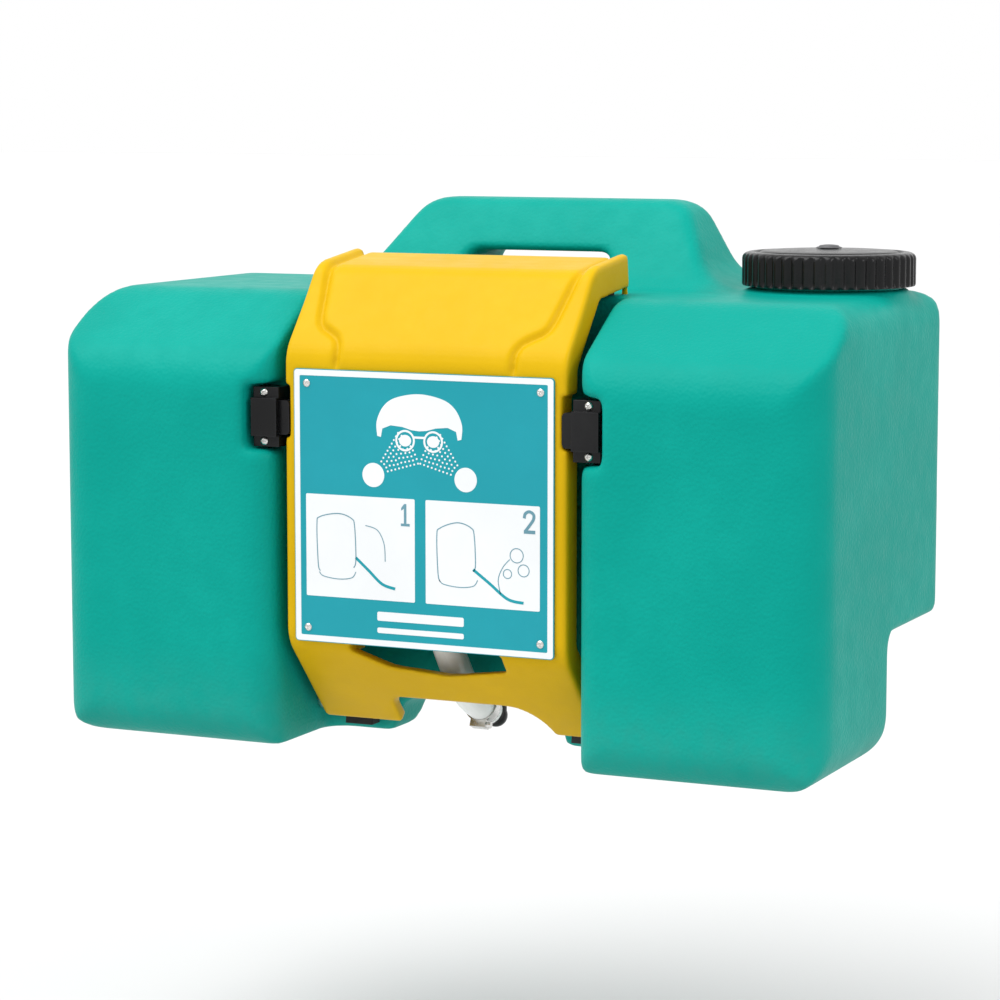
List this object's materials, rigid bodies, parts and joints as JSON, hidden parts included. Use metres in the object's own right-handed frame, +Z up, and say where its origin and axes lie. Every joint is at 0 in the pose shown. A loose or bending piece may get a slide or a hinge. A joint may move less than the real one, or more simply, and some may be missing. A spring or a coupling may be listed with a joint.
{
  "type": "eyewash station",
  "caption": "Portable gravity-fed eyewash station: moulded water tank with handle, filler cap and a swing-down arm with spray heads.",
  "frame": {"origin": "middle of the base: centre of the tank's outline in X and Y, at the plane it stands on", "axes": "+X to the right as seen from the front, +Y to the back, +Z up"},
  "size_m": [0.58, 0.28, 0.384],
  "materials": {
    "tank_plastic": "fine moulded texture",
    "arm_plastic": "semi-gloss",
    "black_plastic": "semi-gloss",
    "grey_plastic": "matte",
    "white_plastic": "semi-gloss",
    "lid_plastic": "semi-gloss",
    "nylon": "satin",
    "sign_face": "printed, satin",
    "hose_silicone": "translucent satin",
    "black_rubber": "matte",
    "stainless": "bright",
    "brass": "satin"
  },
  "bodies": {
    "tank": {"tank": "tank_plastic", "outlet_fitting": "black_plastic", "outlet_nut": "black_plastic", "catch_housing_left": "black_plastic", "catch_housing_right": "black_plastic", "outlet_gasket": "black_rubber", "arm_stop_pads": "black_rubber", "arm_rest_buffers": "black_rubber", "outlet_strainer": "stainless", "outlet_hose_clamp": "stainless", "catch_spring_left": "stainless", "catch_spring_right": "stainless", "catch_screws": "stainless", "pivot_bolt_left": "stainless", "pivot_bolt_right": "stainless", "pivot_washers": "stainless", "pivot_inserts": "brass"},
    "arm": {"arm_shell": "arm_plastic", "pivot_bush_left": "nylon", "pivot_bush_right": "nylon", "sign_plate": "sign_face", "sign_screws": "stainless", "spray_manifold": "white_plastic", "spray_head_left": "white_plastic", "spray_head_right": "white_plastic", "spray_rose_left": "white_plastic", "spray_rose_right": "white_plastic", "head_strainers": "grey_plastic", "head_screws": "stainless", "lid_pins": "stainless", "manifold_hose_clamp": "stainless", "hose_clips": "black_plastic", "clip_screws": "stainless", "hose": "hose_silicone"},
    "catch_left": {"catch_plunger_left": "black_plastic"},
    "catch_right": {"catch_plunger_right": "black_plastic"},
    "gasket": {"cap_gasket": "black_rubber"},
    "cap": {"filler_cap": "black_plastic", "vent_plug": "grey_plastic"},
    "lid_left": {"dust_lid_left": "lid_plastic"},
    "lid_right": {"dust_lid_right": "lid_plastic"}
  },
  "joints": [
    {"name": "arm_swing", "type": "hinge", "parent": "tank", "child": "arm", "pos_m": [0, -0.062, 0.026], "axis": [1, 0, 0], "range_deg": [0, 124], "deforming": ["hose"]},
    {"name": "catch_left_press", "type": "slide", "parent": "tank", "child": "catch_left", "axis": [-1, 0, 0], "range_m": [0, 0.005], "stiffness_N_per_m": 600, "springref_m": -0.003, "deforming": ["catch_spring_left"]},
    {"name": "catch_right_press", "type": "slide", "parent": "tank", "child": "catch_right", "axis": [1, 0, 0], "range_m": [0, 0.005], "stiffness_N_per_m": 600, "springref_m": -0.003, "deforming": ["catch_spring_right"]},
    {"name": "cap_lift", "type": "slide", "parent": "tank", "child": "gasket", "axis": [0, 0, 1], "range_m": [0, 0.15]},
    {"name": "cap_turn", "type": "hinge", "parent": "gasket", "child": "cap", "pos_m": [0.224, 0.066, 0.34], "axis": [0, 0, 1], "continuous": true},
    {"name": "lid_left_flip", "type": "hinge", "parent": "arm", "child": "lid_left", "pos_m": [-0.042, -0.09787, 0.27643], "axis": [-1, 0, 0], "range_deg": [0, 115]},
    {"name": "lid_right_flip", "type": "hinge", "parent": "arm", "child": "lid_right", "pos_m": [0.042, -0.09787, 0.27643], "axis": [-1, 0, 0], "range_deg": [0, 115]}
  ]
}
